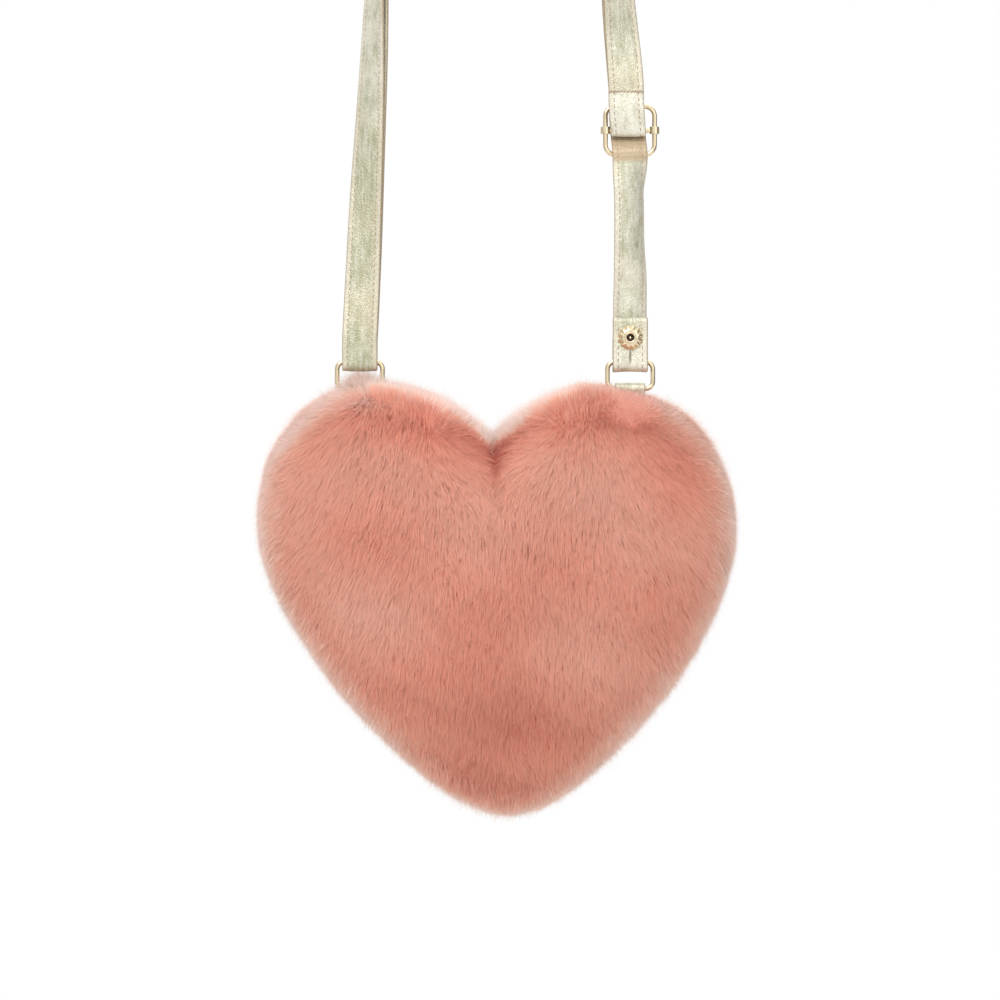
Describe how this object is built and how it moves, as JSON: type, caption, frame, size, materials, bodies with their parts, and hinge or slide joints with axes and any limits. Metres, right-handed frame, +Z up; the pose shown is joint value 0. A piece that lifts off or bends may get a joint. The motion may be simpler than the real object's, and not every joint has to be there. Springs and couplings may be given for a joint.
{
  "type": "heart shaped purse",
  "caption": "Padded heart-shaped faux fur purse with a zip across its flat back, hung by wire rings from a doubled metallic strap with a slide buckle and a riveted end.",
  "frame": {"origin": "underside of the strap's arch, where a hook or a shoulder carries the hanging purse", "axes": "+Z up, -Y out of the front of the purse, +X to the right seen from the front"},
  "size_m": [0.1777, 0.0598, 0.418],
  "materials": {
    "fur": "long soft dusty pink pile",
    "wadding": "white polyester wadding",
    "lining": "smooth pink woven lining",
    "strap": "pearly pale gold coated leathercloth",
    "gold": "polished pale gold plating",
    "zip_tape": "woven pink tape"
  },
  "bodies": {
    "strap": {"strap_front_layer": "strap", "strap_back_layer": "strap", "strap_left_fold": "strap", "strap_bar_fold": "strap", "strap_tail": "strap", "buckle_frame": "gold", "buckle_bar": "gold", "rivet": "gold", "rivet_washer": "gold"},
    "left_ring": {"left_ring": "gold"},
    "right_ring": {"right_ring": "gold"},
    "purse": {"front_fur_panel": "fur", "back_fur_panel": "fur", "front_wadding": "wadding", "back_wadding": "wadding", "front_lining": "lining", "back_lining": "lining", "left_ring_tab": "strap", "right_ring_tab": "strap", "zip_tape_upper": "zip_tape", "zip_tape_lower": "zip_tape", "zip_teeth_upper": "gold", "zip_teeth_lower": "gold", "zip_top_stops": "gold", "zip_bottom_stop": "gold"},
    "zip_slider": {"zip_slider": "gold"},
    "zip_pull": {"zip_pull": "gold"}
  },
  "joints": [
    {"name": "left_ring_swing", "type": "hinge", "parent": "strap", "child": "left_ring", "pos_m": [-0.05, 0, -0.2475], "axis": [1, 0, 0], "range_deg": [-40, 40]},
    {"name": "right_ring_swing", "type": "hinge", "parent": "strap", "child": "right_ring", "pos_m": [0.05, 0, -0.2475], "axis": [1, 0, 0], "range_deg": [-40, 40]},
    {"name": "purse_swing", "type": "hinge", "parent": "left_ring", "child": "purse", "pos_m": [0, 0, -0.2573], "axis": [1, 0, 0], "range_deg": [-40, 40]},
    {"name": "zip_slide", "type": "slide", "parent": "purse", "child": "zip_slider", "axis": [-1, 0, 0], "range_m": [0, 0.096]},
    {"name": "pull_swing", "type": "hinge", "parent": "zip_slider", "child": "zip_pull", "pos_m": [0.04805, 0.0217, -0.3027], "axis": [0, 0, -1], "range_deg": [0, 110]}
  ],
  "couplings": [
    {"joint": "right_ring_swing", "follows": "left_ring_swing", "ratio": 1}
  ]
}
